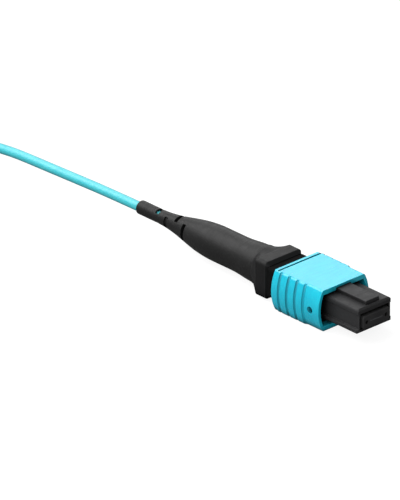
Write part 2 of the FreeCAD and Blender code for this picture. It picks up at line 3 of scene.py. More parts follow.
import bmesh
import bpy
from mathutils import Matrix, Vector


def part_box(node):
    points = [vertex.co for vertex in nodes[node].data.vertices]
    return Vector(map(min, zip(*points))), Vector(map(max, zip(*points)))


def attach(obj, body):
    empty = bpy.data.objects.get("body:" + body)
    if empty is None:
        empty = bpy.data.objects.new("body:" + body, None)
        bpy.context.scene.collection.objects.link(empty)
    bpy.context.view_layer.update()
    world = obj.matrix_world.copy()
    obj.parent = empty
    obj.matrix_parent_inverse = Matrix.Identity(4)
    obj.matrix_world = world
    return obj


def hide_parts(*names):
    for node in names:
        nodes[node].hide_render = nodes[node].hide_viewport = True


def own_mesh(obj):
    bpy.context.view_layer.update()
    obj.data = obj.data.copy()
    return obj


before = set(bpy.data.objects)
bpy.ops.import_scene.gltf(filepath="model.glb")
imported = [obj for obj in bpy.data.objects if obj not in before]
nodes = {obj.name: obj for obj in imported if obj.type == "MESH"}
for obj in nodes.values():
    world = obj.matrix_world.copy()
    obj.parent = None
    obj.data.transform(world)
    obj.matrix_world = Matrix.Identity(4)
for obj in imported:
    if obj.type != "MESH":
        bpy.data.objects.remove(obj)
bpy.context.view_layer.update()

# Twelve-fibre push-pull ribbon connector with its strain relief and cable, dressed for the eye.
# Metres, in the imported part's own frame: +X towards the mating face, +Z towards the key.

scene = bpy.context.scene
MM = 0.001

# ---- sizes of the cable and its hank -----------------------------------------------------------
cable_radius = 0.9 * MM
plug_axis_z = 0.00395
cable_lead = [                      # out of the crimp ring, through the boot and on to the hank
    (-0.0044, 0, plug_axis_z),
    (-0.0342, 0, plug_axis_z),
    (-0.0512, -0.0003, 0.003525),
    (-0.0682, -0.0006, 0.0031),
]
fold_points = 6                     # control points round each fold of the hank
hank_layers = 6
move_share = 0.5                    # of a front fold, used to move to the next ring
tail_settle = 9 * MM                # over which the tail comes down from the second layer

# ---- sizes of the cable's bare end and the yarn ------------------------------------------------
root_cover = 0.1 * MM               # how far the strands start inside the jacket
tuft_strands = 150
tuft_inner_reach = 0.50 * MM
tuft_reach_spread = 0.32 * MM
tuft_length = 3.1 * MM
tuft_strand_radius = 0.028 * MM
fibre_count = 12
core_fibres = 3
core_reach = 0.13 * MM
ring_reach = 0.36 * MM
fibre_radius = 0.11 * MM
bare_fibre_length = 8.0 * MM
barrel_radius = 1.95 * MM
yarn_strand_radius = 0.07 * MM
yarn_strands = 84

# ---- sizes of the hank's strap -----------------------------------------------------------------
strap_thickness = 0.4 * MM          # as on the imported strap
strap_core = strap_thickness * 0.8  # from the hank to the outer skin, on which the loops stand
strap_clearance = 0.02 * MM         # from the hank to the inner skin
strap_corner = 0.8 * cable_radius
strap_columns = 8
corner_parts = 6
strap_overlap = 9 * MM
strap_end_steps = 12
strap_end_thickness = 0.25 * MM
strap_end_lift = 0.03 * MM
strap_end_ripple = 0.05 * MM
strap_end_waves = 5                 # radians of ripple along the free end
loop_height = 0.11 * MM
loop_thread_share = 0.16            # the thread's radius as a share of the loop's height
loops_per_square_metre = 5.0e6
loop_seed = 3

# ---- the joints' travels, the welding distance and the fibres' bare glass ----------------------
sleeve_travel = 2 * MM
ferrule_travel = 1 * MM
weld_distance = 0.001 * MM
bare_glass_length = 3.5 * MM        # behind the ferrule's face

# ---- colours (linear) --------------------------------------------------------------------------
aqua = (0.010, 0.48, 0.61, 1)
aqua_deep = (0.004, 0.37, 0.54, 1)
# a lighter aqua, painted on the sleeve's edges as a highlight
aqua_highlight = (0.05, 0.58, 0.72, 1)
jacket = (0.055, 0.46, 0.51, 1)
jacket_deep = (0.03, 0.38, 0.45, 1)
dust_colour = (0.55, 0.53, 0.5, 1)
bare_glass = (0.16, 0.17, 0.18, 1)
fibre_colours = {
    "blue": (0.012, 0.11, 0.62, 1), "orange": (0.90, 0.19, 0.01, 1),
    "green": (0.02, 0.36, 0.06, 1), "brown": (0.16, 0.06, 0.02, 1),
    "slate": (0.20, 0.23, 0.26, 1), "white": (0.85, 0.85, 0.82, 1),
    "red": (0.72, 0.015, 0.015, 1), "black": (0.012, 0.012, 0.013, 1),
    "yellow": (0.88, 0.66, 0.02, 1), "violet": (0.22, 0.04, 0.42, 1),
    "rose": (0.88, 0.30, 0.38, 1), "aqua": (0.03, 0.55, 0.62, 1),
}

# ---- values of the finishes and the light ------------------------------------------------------
tone_scale = 260.0                  # noise scales, per metre
flow_scale = 2600.0
grain_scale = 9000.0
speck_scale = 5200.0
patch_scale = 700.0
filament_scale = 3000.0
metal_line_scale = 4000.0
along_fibre = (0.2, 1, 1)           # draws a pattern out along X
coating_mottle_tone = 0.7
metal_edge_radius = 0.05 * MM
rub_shine = 0.06                    # how much handling takes off the roughness
hollow_dulling = 0.6                # how much the mask of the painted crevice shade adds to the roughness
neck_shade_tone = 0.12                    # painted shade: what is left of the colour behind the sleeve
# over which the painted neck shade fades in
neck_shade_fade = 1 * MM
surround_strength = 0.25
floor_reach = 6.0
floor_glow = 0.88                   # makes the floor read as white to the camera alone


# ---- camera and light --------------------------------------------------------------------------
def make_camera():
    """A long lens, high over the plug's front right corner."""
    azimuth = math.radians(47.0)
    elevation = math.radians(26.2)
    aim = Vector((-0.00502, -0.00911, 0.00754))
    distance = 2.0
    back = Vector((math.sin(azimuth) * math.cos(elevation),
                   -math.cos(azimuth) * math.cos(elevation), math.sin(elevation)))
    data = bpy.data.cameras.new("view_camera")
    data.sensor_width = 36
    data.lens = 822
    data.clip_start = 0.05
    data.clip_end = 20
    camera = bpy.data.objects.new("view_camera", data)
    camera.location = aim + back * distance
    camera.rotation_mode = "QUATERNION"
    camera.rotation_quaternion = (-back).to_track_quat("-Z", "Y")
    scene.collection.objects.link(camera)
    scene.camera = camera


def soft_light(name, place, size, power):
    """A square softbox that faces the plug and isn't seen itself."""
    plug = Vector((0, 0, 0.004))
    data = bpy.data.lights.new(name, "AREA")
    data.shape = "SQUARE"
    data.size = size
    data.energy = power
    light = bpy.data.objects.new(name, data)
    light.location = place
    light.rotation_mode = "QUATERNION"
    light.rotation_quaternion = (plug - Vector(place)).to_track_quat("-Z", "Y")
    light.visible_camera = False
    scene.collection.objects.link(light)


def make_studio():
    """A pale floor, a dim surround, a big softbox up to the left, a rear panel and a front fill."""
    world = bpy.data.worlds.new("studio")
    world.use_nodes = True
    background = world.node_tree.nodes["Background"]
    background.inputs["Color"].default_value = (1, 1, 1, 1)
    background.inputs["Strength"].default_value = surround_strength
    scene.world = world
    scene.view_settings.view_transform = "Standard"
    soft_light("overhead", place=(-0.33, -0.15, 0.48), size=0.7, power=6.6)
    soft_light("back_panel", place=(-0.46, 0.43, 0.31), size=0.4, power=1.0)
    soft_light("front_fill", place=(0.26, -0.47, 0.27), size=0.5, power=2.6)
    mesh = bpy.data.meshes.new("floor")
    quarters = ((-1, -1), (1, -1), (1, 1), (-1, 1))
    corners = [(x * floor_reach, y * floor_reach, 0) for x, y in quarters]
    mesh.from_pydata(corners, [], [(0, 1, 2, 3)])
    floor = bpy.data.objects.new("floor", mesh)
    scene.collection.objects.link(floor)
    mesh.materials.append(make_floor_finish())


# ---- helpers for node trees --------------------------------------------------------------------
def node(tree, kind, inputs=None, **settings):
    """Adds a node, sets it, and gives each input a value or a link."""
    made = tree.nodes.new(kind)
    for key, value in settings.items():
        setattr(made, key, value)
    for key, value in (inputs or {}).items():
        if isinstance(value, bpy.types.NodeSocket):
            tree.links.new(value, made.inputs[key])
        else:
            made.inputs[key].default_value = value
    return made


def maths(tree, operation, *values, clamp=False):
    made = node(tree, "ShaderNodeMath", dict(enumerate(values)), operation=operation,
                use_clamp=clamp)
    return made.outputs[0]


def vector_maths(tree, operation, first, second):
    made = node(tree, "ShaderNodeVectorMath", {0: first, 1: second}, operation=operation)
    return made.outputs[0]


def scaled(tree, vector, factor):
    made = node(tree, "ShaderNodeVectorMath", {0: vector, "Scale": factor}, operation="SCALE")
    return made.outputs[0]


def blended(tree, share, first, second):
    """The mix of two colours, which a Mix node takes on sockets 6 and 7 and gives on 2."""
    return node(tree, "ShaderNodeMix", {0: share, 6: first, 7: second}, data_type="RGBA").outputs[2]


def object_place(tree, scale=(1, 1, 1), turn=(0, 0, 0)):
    """Object coordinates, stretched or turned."""
    place = node(tree, "ShaderNodeTexCoord").outputs["Object"]
    made = node(tree, "ShaderNodeMapping", {"Vector": place, "Scale": scale, "Rotation": turn})
    return made.outputs[0]


def object_x(tree):
    return node(tree, "ShaderNodeSeparateXYZ", {0: object_place(tree)}).outputs["X"]


def noise(tree, vector, scale, detail=3.0, roughness=0.5):
    made = node(tree, "ShaderNodeTexNoise", {"Vector": vector, "Scale": scale, "Detail": detail,
                                             "Roughness": roughness})
    return made.outputs["Fac"]


def spread_to(tree, value, low, high, new_low=0.0, new_high=1.0):
    """The range from low to high, mapped to the new range and clamped."""
    made = node(tree, "ShaderNodeMapRange", {"Value": value, "From Min": low, "From Max": high,
                                             "To Min": new_low, "To Max": new_high})
    return made.outputs["Result"]


def random_between(tree, low, high, seed):
    """A random number for each element. A Random Value node's sockets 2 and 3 hold its range."""
    made = node(tree, "FunctionNodeRandomValue", {2: low, 3: high, "Seed": seed},
                data_type="FLOAT")
    return made.outputs[1]


def new_group(name, kind, inputs, outputs):
    """A node group with named inputs and outputs. Each input is (name, type, value)."""
    tree = bpy.data.node_groups.new(name, kind)
    for label, sort, value in inputs:
        socket = tree.interface.new_socket(label, in_out="INPUT", socket_type="NodeSocket" + sort)
        if value is not None:
            socket.default_value = value
    for label, sort in outputs:
        tree.interface.new_socket(label, in_out="OUTPUT", socket_type="NodeSocket" + sort)
    return tree, node(tree, "NodeGroupInput"), node(tree, "NodeGroupOutput")


def give(tree, group_output, **values):
    """Links values to a group's outputs."""
    for label, socket in values.items():
        tree.links.new(socket, group_output.inputs[label])


# ---- shader groups -----------------------------------------------------------------------------
def make_skin_group():
    """Moulded plastic: spark-eroded grain, faint flow lines and a slow drift of tone."""
    tree, given, out = new_group(
        "moulded_skin", "ShaderNodeTree",
        [("Color", "Color", (0.5, 0.5, 0.5, 1)), ("Deep", "Color", (0.4, 0.4, 0.4, 1)),
         ("Drift", "Float", 0.5), ("Flow", "Float", 0.3), ("Grain", "Float", 1.0),
         ("Roughness", "Float", 0.4), ("Uneven", "Float", 0.1)],
        [("Color", "Color"), ("Roughness", "Float"), ("Height", "Float")])
    slow = noise(tree, object_place(tree), tone_scale, detail=2.0)
    slow = spread_to(tree, slow, 0.35, 0.65)
    flow = noise(tree, object_place(tree, scale=(1, 0.12, 0.3)), flow_scale, detail=4.0,
                 roughness=0.6)
    flow = spread_to(tree, flow, 0.38, 0.66)
    grain = noise(tree, object_place(tree), grain_scale, detail=2.0, roughness=0.6)
    drift = maths(tree, "MULTIPLY", slow, given.outputs["Drift"])
    streak = maths(tree, "MULTIPLY", flow, given.outputs["Flow"])
    share = maths(tree, "ADD", drift, streak, clamp=True)
    colour = blended(tree, share, given.outputs["Color"], given.outputs["Deep"])
    swing = maths(tree, "SUBTRACT", maths(tree, "ADD", grain, flow), 1.0)
    swing = maths(tree, "MULTIPLY", swing, given.outputs["Uneven"])
    rough = maths(tree, "ADD", given.outputs["Roughness"], swing, clamp=True)
    height = maths(tree, "ADD", grain, maths(tree, "MULTIPLY", flow, 0.5))
    height = maths(tree, "MULTIPLY", height, given.outputs["Grain"])
    give(tree, out, Color=colour, Roughness=rough, Height=height)
    return tree


def make_edge_group():
    """Rounds sharp edges for the light, and says how near an edge is."""
    tree, given, out = new_group(
        "rounded_edges", "ShaderNodeTree",
        [("Radius", "Float", 0.08 * MM), ("Gain", "Float", 3.0)],
        [("Edge", "Float"), ("Normal", "Vector")])
    eased = node(tree, "ShaderNodeBevel", {"Radius": given.outputs["Radius"]}, samples=6)
    plain = node(tree, "ShaderNodeNewGeometry").outputs["Normal"]
    likeness = node(tree, "ShaderNodeVectorMath", {0: eased.outputs[0], 1: plain},
                    operation="DOT_PRODUCT").outputs["Value"]
    lean = maths(tree, "SUBTRACT", 1.0, likeness)
    edge = maths(tree, "MULTIPLY", lean, given.outputs["Gain"], clamp=True)
    give(tree, out, Edge=edge, Normal=eased.outputs[0])
    return tree


def make_crevice_shade_group():
    """A mask for painted shade: 1 on open faces, less in slots, gaps and inner corners."""
    tree, given, out = new_group(
        "painted_crevice_shade", "ShaderNodeTree", [("Reach", "Float", 1.5 * MM), ("Depth", "Float", 1.0)],
        [("Open", "Float")])
    around = node(tree, "ShaderNodeAmbientOcclusion", {"Distance": given.outputs["Reach"]},
                  samples=8)
    hidden = maths(tree, "SUBTRACT", 1.0, spread_to(tree, around.outputs["AO"], 0.35, 0.9))
    shade_amount = maths(tree, "MULTIPLY", hidden, given.outputs["Depth"])
    give(tree, out, Open=maths(tree, "SUBTRACT", 1.0, shade_amount, clamp=True))
    return tree


def make_handling_group():
    """Traces of handling: a little dust, and rubbed patches that shine more."""
    tree, given, out = new_group(
        "handling", "ShaderNodeTree",
        [("Color", "Color", (0.5, 0.5, 0.5, 1)), ("Roughness", "Float", 0.4),
         ("Dust", "Float", 0.1)],
        [("Color", "Color"), ("Roughness", "Float")])
    specks = noise(tree, object_place(tree), speck_scale, detail=1.0, roughness=0.4)
    patches = spread_to(tree, noise(tree, object_place(tree), patch_scale), 0.4, 0.7)
    settled = maths(tree, "MULTIPLY", spread_to(tree, specks, 0.68, 0.78), given.outputs["Dust"])
    colour = blended(tree, settled, given.outputs["Color"], dust_colour)
    rubbed = maths(tree, "MULTIPLY", patches, rub_shine)
    rough = maths(tree, "SUBTRACT", given.outputs["Roughness"], rubbed)
    rough = maths(tree, "ADD", rough, settled, clamp=True)
    give(tree, out, Color=colour, Roughness=rough)
    return tree


def make_twist_group():
    """Fine twisted filaments, for yarn and woven strap."""
    tree, given, out = new_group(
        "filaments", "ShaderNodeTree",
        [("Color", "Color", (0.5, 0.5, 0.5, 1)), ("Deep", "Color", (0.3, 0.3, 0.3, 1)),
         ("Pitch", "Float", 0.2 * MM)],
        [("Color", "Color"), ("Height", "Float")])
    scale = maths(tree, "DIVIDE", 1.0, given.outputs["Pitch"])
    wave = node(tree, "ShaderNodeTexWave",
                {"Vector": object_place(tree, turn=(0.3, 0.6, 0.2)), "Scale": scale,
                 "Distortion": 2.0, "Detail": 2.0},
                wave_type="BANDS", bands_direction="DIAGONAL")
    strands = wave.outputs["Fac"]
    shade = maths(tree, "MULTIPLY", noise(tree, object_place(tree), filament_scale), strands)
    colour = blended(tree, shade, given.outputs["Deep"], given.outputs["Color"])
    give(tree, out, Color=colour, Height=strands)
    return tree


# ---- materials ---------------------------------------------------------------------------------
def new_finish(name, **fixed):
    """A material with its Principled shader. Fixed values go on the shader's own sockets."""
    material = bpy.data.materials.new(name)
    material.use_nodes = True
    tree = material.node_tree
    shader = tree.nodes["Principled BSDF"]
    for label, value in fixed.items():
        shader.inputs[label.replace("_", " ")].default_value = value
    return material, tree, shader


def feed(tree, shader, **sockets):
    """Links values that change over the surface to the shader."""
    for label, socket in sockets.items():
        tree.links.new(socket, shader.inputs[label.replace("_", " ")])


def grouped(tree, group, **inputs):
    """A shader group placed in a material, with its own values."""
    return node(tree, "ShaderNodeGroup", inputs, node_tree=group).outputs


def raised(tree, height, distance, normal=None):
    """A bump, on top of another normal if one is given."""
    inputs = {"Height": height, "Distance": distance, "Strength": 1.0}
    if normal is not None:
        inputs["Normal"] = normal
    return node(tree, "ShaderNodeBump", inputs).outputs[0]


def moulded(name, colour, deep, edge_highlight_colour, roughness, grain, flow=0.2, drift=0.4, uneven=0.1,
            dust=0.05, edge_radius=0.08 * MM, edge_highlight_share=0.5, bump=0.012 * MM, shine=0.5,
            crevice_shade=0.6, crevice_shade_reach=1.5 * MM, neck_shade_x=None, **fixed):
    """A moulded plastic or rubber finish: softly rounded edges with a painted highlight, and
    painted shade in crevices, which are also duller.

    Behind the given neck x, where a housing's neck is all but closed in, painted shade darkens it
    to a deeper black.
    """
    material, tree, shader = new_finish(name, Specular_IOR_Level=shine, **fixed)
    skin = grouped(tree, skin_group, Color=colour, Deep=deep, Drift=drift, Flow=flow, Grain=grain,
                   Roughness=roughness, Uneven=uneven)
    edges = grouped(tree, edge_group, Radius=edge_radius)
    # painted highlight: near edges the colour moves towards the lighter edge colour
    edge_highlight = maths(tree, "MULTIPLY", edges["Edge"], edge_highlight_share)
    lit = blended(tree, edge_highlight, skin["Color"], edge_highlight_colour)
    kept = grouped(tree, handling_group, Color=lit, Roughness=skin["Roughness"], Dust=dust)
    # painted shade: the colour is darkened in crevices, slots and gaps, as if in shade
    unshaded_share = grouped(tree, crevice_shade_group, Reach=crevice_shade_reach, Depth=crevice_shade)["Open"]
    if neck_shade_x is not None:
        # painted shade: behind the sleeve the colour falls to a small share, fading in over a short
        # run
        neck_shade = spread_to(tree, object_x(tree), neck_shade_x, neck_shade_x + neck_shade_fade, new_low=neck_shade_tone)
        unshaded_share = maths(tree, "MULTIPLY", unshaded_share, neck_shade)
    dull = maths(tree, "MULTIPLY", maths(tree, "SUBTRACT", 1.0, unshaded_share), hollow_dulling)
    feed(tree, shader, Base_Color=scaled(tree, kept["Color"], unshaded_share),
         Roughness=maths(tree, "ADD", kept["Roughness"], dull, clamp=True),
         Normal=raised(tree, skin["Height"], bump, edges["Normal"]))
    return material


def make_floor_finish():
    """A matte pale floor that glows for the camera only, so little of it lights the part."""
    material, tree, shader = new_finish("pale_sweep", Roughness=0.9, Specular_IOR_Level=0.1,
                                        Emission_Color=(1, 1, 1, 1))
    seen = node(tree, "ShaderNodeLightPath").outputs["Is Camera Ray"]
    cloud = noise(tree, object_place(tree), scale=1.5, detail=2.0)
    pale = blended(tree, cloud, (0.15, 0.15, 0.15, 1), (0.16, 0.16, 0.16, 1))
    glow = maths(tree, "MULTIPLY", seen, floor_glow)
    feed(tree, shader, Base_Color=pale, Emission_Strength=glow)
    return material


def make_metal(name, colour, deep, roughness, along):
    """Drawn or turned metal, with lines round it or along it."""
    material, tree, shader = new_finish(name, Metallic=1.0)
    lines = noise(tree, object_place(tree, along), metal_line_scale, roughness=0.6)
    edges = grouped(tree, edge_group, Radius=metal_edge_radius)
    feed(tree, shader, Base_Color=blended(tree, lines, deep, colour),
         Roughness=spread_to(tree, lines, 0.3, 0.7, roughness * 0.7, roughness * 1.4),
         Normal=raised(tree, lines, 0.004 * MM, edges["Normal"]))
    return material


def make_thread_finish(name, colour, deep, pitch, bump, **fixed):
    """Yarn or woven strap."""
    material, tree, shader = new_finish(name, **fixed)
    twist = grouped(tree, twist_group, Color=colour, Deep=deep, Pitch=pitch)
    feed(tree, shader, Base_Color=twist["Color"], Normal=raised(tree, twist["Height"], bump))
    return material


def make_coating(name, colour):
    """Coloured fibre coating, and bare glass where the fibre runs through the ferrule."""
    material, tree, shader = new_finish(name, Roughness=0.25, Coat_Weight=0.3)
    bare = maths(tree, "GREATER_THAN", object_x(tree),
                 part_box("mt_ferrule")[1].x - bare_glass_length)
    mottle = noise(tree, object_place(tree, along_fibre), grain_scale)
    deep = tuple(part * coating_mottle_tone for part in colour[:3]) + (1,)
    coat = blended(tree, mottle, colour, deep)
    feed(tree, shader, Base_Color=blended(tree, bare, coat, bare_glass),
         Normal=raised(tree, mottle, 0.002 * MM))
    return material


def make_fibre_ends_finish():
    """The twelve coating colours, picked by the number that each fibre carries."""
    material, tree, shader = new_finish("fibre_ends", Roughness=0.25, Coat_Weight=0.3)
    number = node(tree, "ShaderNodeAttribute", attribute_name="fibre").outputs["Fac"]
    ramp = node(tree, "ShaderNodeValToRGB", {0: maths(tree, "DIVIDE", number, float(fibre_count))})
    ramp.color_ramp.interpolation = "CONSTANT"
    stops = ramp.color_ramp.elements
    for place, colour in enumerate(fibre_colours.values()):
        # A new ramp has two stops. A further one is made near its end, past the others, and moved.
        stop = stops[place] if place < 2 else stops.new(0.999)
        stop.position = max(0.0, (place - 0.5) / fibre_count)
        stop.color = colour
    mottle = noise(tree, object_place(tree, along_fibre), grain_scale)
    shade = maths(tree, "MULTIPLY", mottle, 0.3)
    feed(tree, shader, Base_Color=blended(tree, shade, ramp.outputs["Color"], (0.1, 0.1, 0.1, 1)))
    return material


# ---- cable -------------------------------------------------------------------------------------
def cable_route():
    """The cable's control points: out of the boot, on with a slight sag, and round the hank."""
    low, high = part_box("cable_hank")
    half_width = (high.y - low.y) / 2
    mid_y = (high.y + low.y) / 2
    front_x = high.x - half_width
    rear_x = low.x + half_width
    mid_x = (front_x + rear_x) / 2
    pitch = 2 * cable_radius
    # Each ring's column inwards and layer upwards, in the order that the cable fills them, and how
    # far round the front fold it starts to move to the next: a place is left before it is taken.
    climb = [(1, layer, 0.33) for layer in range(hank_layers - 1)]
    descent = [(0, layer, 0.0) for layer in range(hank_layers - 1, 1, -1)]
    rings = [(0, 0, 0.5)] + climb + [(1, hank_layers - 1, 0.17)] + descent + [(0, 1, 0.0)]
    # The fold's points stand on a polygon round the arc, which the smooth line touches.
    step = math.pi / fold_points
    outward = 1 / math.cos(step / 2)

    def reach(column):
        return half_width - cable_radius - column * pitch

    def rise(layer):
        return low.z + cable_radius + layer * pitch

    def fold_point(centre_x, way, radius, part, height):
        """A point of the fold at the hank's rear (way -1) or front (way 1)."""
        angle = (part + 0.5) * step
        return Vector((centre_x + way * outward * radius * math.sin(angle),
                       mid_y + way * outward * radius * math.cos(angle), height))

    side_y = mid_y - reach(0)
    points = [Vector(place) for place in cable_lead]
    points.append(Vector((front_x, side_y, rise(0))))
    for (column, layer, wait), (next_column, next_layer, _) in zip(rings, rings[1:]):
        radius, height = reach(column), rise(layer)
        points.append(Vector((mid_x, mid_y - radius, height)))
        for part in range(fold_points):
            points.append(fold_point(rear_x, -1, radius, part, height))
        points.append(Vector((mid_x, mid_y + radius, height)))
        for part in range(fold_points):
            share = min(max(((part + 0.5) / fold_points - wait) / move_share, 0), 1)
            moved_radius = radius + (reach(next_column) - radius) * share
            moved_height = height + (rise(next_layer) - height) * share
            points.append(fold_point(front_x, 1, moved_radius, part, moved_height))
    for x, layer in ((mid_x, 1), (rear_x, 1), (rear_x - tail_settle, 0),
                     (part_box("cable_tail")[0].x, 0)):
        points.append(Vector((x, side_y, rise(layer))))
    return points


def make_cable():
    """The whole cable as one cord. Its last point is the bare end."""
    points = cable_route()
    data = bpy.data.curves.new("cable_jacket", "CURVE")
    data.dimensions = "3D"
    data.resolution_u = 8
    data.bevel_depth = cable_radius
    data.bevel_resolution = 4
    data.use_fill_caps = True
    line = data.splines.new("NURBS")
    line.points.add(len(points) - 1)
    for control, place in zip(line.points, points):
        control.co = (*place, 1)
    line.order_u = 3
    line.use_endpoint_u = True
    line.use_smooth = True
    cable = bpy.data.objects.new("cable_jacket", data)
    scene.collection.objects.link(cable)
    data.materials.append(make_jacket_finish())
    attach(cable, "plug")
    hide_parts("cable", "cable_hank", "cable_tail")
    return cable, points[-1]


def make_jacket_finish():
    """Extruded jacket: satin, with faint streaks and a slight drift of tone."""
    # this finish also gets the moulded finish's painted shade in crevices
    return moulded("jacket_aqua", jacket, jacket_deep, jacket, roughness=0.40, grain=0.6, flow=0.15,
                   drift=0.5, uneven=0.12, dust=0.02, edge_highlight_share=0.0, edge_radius=0.02 * MM,
                   Subsurface_Weight=0.12, Subsurface_Radius=(0.2, 0.6, 0.7),
                   Subsurface_Scale=0.6 * MM)


# ---- pieces grown with geometry nodes ----------------------------------------------------------
def grown(name, tree, finish, base, **values):
    """Runs a geometry tree on a base mesh and keeps the result as a plain mesh piece."""
    seedling = bpy.data.objects.new(name + "_base", base)
    scene.collection.objects.link(seedling)
    modifier = seedling.modifiers.new("growth", "NODES")
    modifier.node_group = tree
    values["Finish"] = finish
    for item in tree.interface.items_tree:
        if item.in_out == "INPUT" and item.name in values:
            modifier[item.identifier] = values[item.name]
    ready = seedling.evaluated_get(bpy.context.evaluated_depsgraph_get())
    made = bpy.data.meshes.new_from_object(ready)
    seedling.modifiers.remove(modifier)
    bpy.data.objects.remove(seedling)
    made.name = name
    piece = bpy.data.objects.new(name, made)
    scene.collection.objects.link(piece)
    return piece


def tube(tree, line, sides, radius):
    """A closed tube along a line."""
    ring = node(tree, "GeometryNodeCurvePrimitiveCircle", {"Resolution": sides, "Radius": radius})
    made = node(tree, "GeometryNodeCurveToMesh",
                {"Curve": line, "Profile Curve": ring.outputs[0], "Fill Caps": True})
    return made.outputs[0]


def end_tree(tree, given, out, geometry):
    """Ends a tree with real geometry in its finish."""
    whole = node(tree, "GeometryNodeRealizeInstances", {0: geometry})
    finished = node(tree, "GeometryNodeSetMaterial", {"Geometry": whole.outputs[0],
                                                      "Material": given.outputs["Finish"]})
    give(tree, out, Geometry=finished.outputs[0])


def make_strand_tree():
    """Thin strands that stand on the base mesh's points, lean outwards and waver."""
    tree, given, out = new_group(
        "strands", "GeometryNodeTree",
        [("Roots", "Geometry", None), ("Length", "Float", 3 * MM), ("Radius", "Float", 0.03 * MM),
         ("Lean", "Float", 0.0), ("Waver", "Float", 0.1 * MM), ("Axis height", "Vector", (0, 0, 0)),
         ("Finish", "Material", None)],
        [("Geometry", "Geometry")])
    far = node(tree, "ShaderNodeCombineXYZ",
               {0: maths(tree, "MULTIPLY", given.outputs["Length"], -1.0)})
    stem = node(tree, "GeometryNodeCurvePrimitiveLine", {"End": far.outputs[0]}, mode="POINTS")
    stem = node(tree, "GeometryNodeResampleCurve", {"Curve": stem.outputs[0], "Count": 9},
                mode="COUNT")
    share = node(tree, "GeometryNodeSplineParameter").outputs["Factor"]
    kept = node(tree, "GeometryNodeStoreNamedAttribute",
                {"Geometry": stem.outputs[0], "Name": "along", "Value": share},
                data_type="FLOAT", domain="POINT")
    placed = node(tree, "GeometryNodeInstanceOnPoints",
                  {"Points": given.outputs["Roots"], "Instance": kept.outputs[0],
                   "Scale": random_between(tree, 0.75, 1.0, seed=4)})
    strands = node(tree, "GeometryNodeRealizeInstances", {0: placed.outputs[0]})
    along = node(tree, "GeometryNodeInputNamedAttribute", {"Name": "along"},
                 data_type="FLOAT").outputs[0]
    place = node(tree, "GeometryNodeInputPosition").outputs[0]
    from_axis = vector_maths(tree, "SUBTRACT", place, given.outputs["Axis height"])
    outward = vector_maths(tree, "MULTIPLY", from_axis, (0, 1, 1))
    lean = scaled(tree, outward, maths(tree, "MULTIPLY", along, given.outputs["Lean"]))
    stir = node(tree, "ShaderNodeTexNoise", {"Vector": place, "Scale": 900.0, "Detail": 1.0})
    stir = vector_maths(tree, "SUBTRACT", stir.outputs["Color"], (0.5, 0.5, 0.5))
    stir = scaled(tree, stir, maths(tree, "MULTIPLY", along, given.outputs["Waver"]))
    bent = node(tree, "GeometryNodeSetPosition",
                {"Geometry": strands.outputs[0], "Offset": vector_maths(tree, "ADD", lean, stir)})
    end_tree(tree, given, out, tube(tree, bent.outputs[0], sides=6, radius=given.outputs["Radius"]))
    return tree


def points_mesh(name, places, numbers=None):
    """A mesh of loose points, each with its own number where one is given."""
    mesh = bpy.data.meshes.new(name)
    mesh.from_pydata(places, [], [])
    if numbers is not None:
        mesh.attributes.new("fibre", "FLOAT", "POINT").data.foreach_set("value", numbers)
    return mesh


def round_axis(centre, lift, reach, angle):
    """A place off a centre: lift along X, and reach from the axis at an angle."""
    return centre + Vector((lift, reach * math.cos(angle), reach * math.sin(angle)))


def make_cable_end(end):
    """The bare end: a tuft of strength yarn, and twelve coloured fibres that stand out of it."""
    golden = math.pi * (3 - math.sqrt(5))
    tuft_roots = []
    for number in range(tuft_strands):
        reach = tuft_inner_reach + tuft_reach_spread * number / tuft_strands
        tuft_roots.append(round_axis(end, root_cover, reach, number * golden))
    tuft = grown("cable_end_tuft", strand_tree, yarn_finish, points_mesh("tuft_roots", tuft_roots),
                 **{"Length": tuft_length, "Radius": tuft_strand_radius, "Lean": 0.12,
                    "Waver": 0.35 * MM, "Axis height": end})
    ring_fibres = fibre_count - core_fibres
    fibre_roots = []
    for number in range(fibre_count):
        if number < core_fibres:
            reach, turn = core_reach, number / core_fibres
        else:
            reach, turn = ring_reach, (number - core_fibres) / ring_fibres
        fibre_roots.append(round_axis(end, root_cover, reach, 2 * math.pi * turn))
    fibres = grown("cable_end_coloured_fibres", strand_tree, make_fibre_ends_finish(),
                   points_mesh("fibre_roots", fibre_roots, list(range(fibre_count))),
                   **{"Length": bare_fibre_length, "Radius": fibre_radius, "Lean": 0.35,
                      "Waver": 0.25 * MM, "Axis height": end})
    for piece, hidden, slot in ((tuft, "cable_end_yarn", "yarn"),
                                (fibres, "cable_end_fibres", "fibre_ends")):
        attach(piece, "plug")
        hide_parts(hidden)
    return [tuft, fibres]


def make_barrel_yarn():
    """The strength yarn laid back over the barrel, strand beside strand."""
    low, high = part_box("aramid_yarn")
    axis = Vector((high.x, 0, (low.z + high.z) / 2))
    reach = barrel_radius + yarn_strand_radius
    roots = [round_axis(axis, 0, reach, 2 * math.pi * number / yarn_strands)
             for number in range(yarn_strands)]
    yarn = grown("barrel_yarn", strand_tree, yarn_finish, points_mesh("yarn_roots", roots),
                 **{"Length": high.x - low.x, "Radius": yarn_strand_radius, "Lean": 0.0,
                    "Waver": 0.0, "Axis height": axis})
    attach(yarn, "plug")
    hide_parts("aramid_yarn")


